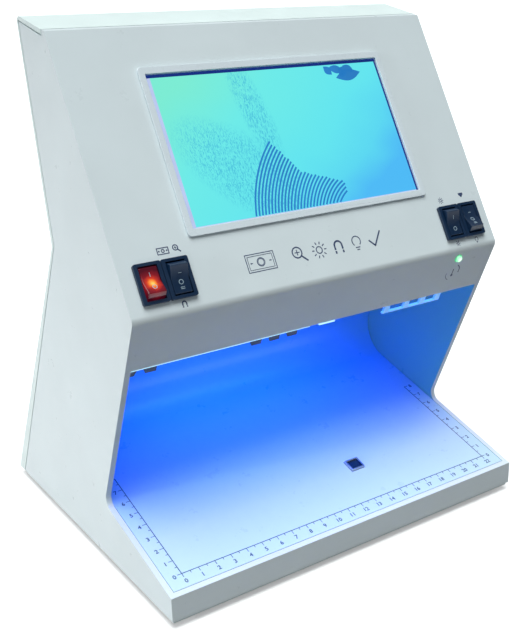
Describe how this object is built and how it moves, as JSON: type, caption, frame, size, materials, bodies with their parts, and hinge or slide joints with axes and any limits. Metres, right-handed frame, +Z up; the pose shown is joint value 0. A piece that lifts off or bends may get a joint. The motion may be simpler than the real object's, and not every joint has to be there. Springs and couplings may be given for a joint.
{
  "type": "counterfeit bill detector",
  "caption": "Desktop banknote detector: K-shaped white housing, tilted colour screen, two pairs of rocker switches, an ultraviolet viewing chamber and a ruled deck with a magnetic head.",
  "frame": {"origin": "centre of the bounding box at the level of the soles of the rubber feet", "axes": "+Z up, -Y out of the front where the deck and screen face the user, +X to the right as the user sees it"},
  "size_m": [0.246, 0.215, 0.2993],
  "materials": {
    "shell_white": "satin",
    "cover_white": "satin",
    "deck_white": "gloss",
    "black_plastic": "satin",
    "red_lens": "gloss",
    "screen_glass": "gloss",
    "chrome": "polished",
    "steel": "satin",
    "aluminium": "satin",
    "circuit_board": "satin",
    "rubber": "matt",
    "lamp_glass": "gloss",
    "light_guide": "gloss",
    "led_green": "gloss"
  },
  "bodies": {
    "housing": {"base_plate": "cover_white", "buzzer": "black_plastic", "camera_board": "circuit_board", "camera_lens": "black_plastic", "cover_screw_bottom_left": "steel", "cover_screw_bottom_right": "steel", "cover_screw_middle_left": "steel", "cover_screw_middle_right": "steel", "cover_screw_top_left": "steel", "cover_screw_top_right": "steel", "deck_backlight": "circuit_board", "deck_sheet": "deck_white", "display_bezel": "cover_white", "display_board": "circuit_board", "display_bracket": "aluminium", "display_panel": "screen_glass", "display_ribbon": "cover_white", "edge_light_left": "light_guide", "edge_light_right": "light_guide", "foot_front_left": "rubber", "foot_front_right": "rubber", "foot_rear_left": "rubber", "foot_rear_right": "rubber", "foot_screw_front_left": "steel", "foot_screw_front_right": "steel", "foot_screw_rear_left": "steel", "foot_screw_rear_right": "steel", "front_shell": "shell_white", "infrared_led_board_left": "circuit_board", "infrared_led_board_right": "circuit_board", "infrared_switch_housing": "black_plastic", "inlet_screw_left": "steel", "inlet_screw_right": "steel", "lamp_holder_left": "cover_white", "lamp_holder_right": "cover_white", "lamp_reflector": "aluminium", "light_shield": "black_plastic", "light_switch_housing": "black_plastic", "magnetic_head_case": "chrome", "magnetic_head_core": "black_plastic", "magnetic_switch_housing": "black_plastic", "main_board": "circuit_board", "mains_inlet": "black_plastic", "power_board": "circuit_board", "power_switch_housing": "black_plastic", "power_transformer": "black_plastic", "rear_cover": "cover_white", "status_led": "led_green", "uv_ballast": "circuit_board", "uv_lamp_front": "lamp_glass", "uv_lamp_rear": "lamp_glass", "white_led_strip": "circuit_board"},
    "power_rocker_body": {"power_rocker": "red_lens"},
    "magnetic_rocker_body": {"magnetic_rocker": "black_plastic"},
    "infrared_rocker_body": {"infrared_rocker": "black_plastic"},
    "light_rocker_body": {"light_rocker": "black_plastic"}
  },
  "joints": [
    {"name": "power_rocker_tilt", "type": "hinge", "parent": "housing", "child": "power_rocker_body", "pos_m": [-0.1078, -0.07606, 0.17619], "axis": [1, 0, 0], "range_deg": [0, 27]},
    {"name": "magnetic_rocker_tilt", "type": "hinge", "parent": "housing", "child": "magnetic_rocker_body", "pos_m": [-0.0926, -0.07606, 0.17619], "axis": [1, 0, 0], "range_deg": [-27, 0]},
    {"name": "infrared_rocker_tilt", "type": "hinge", "parent": "housing", "child": "infrared_rocker_body", "pos_m": [0.0926, -0.07606, 0.17619], "axis": [1, 0, 0], "range_deg": [-27, 0]},
    {"name": "light_rocker_tilt", "type": "hinge", "parent": "housing", "child": "light_rocker_body", "pos_m": [0.1078, -0.07606, 0.17619], "axis": [1, 0, 0], "range_deg": [0, 27]}
  ]
}
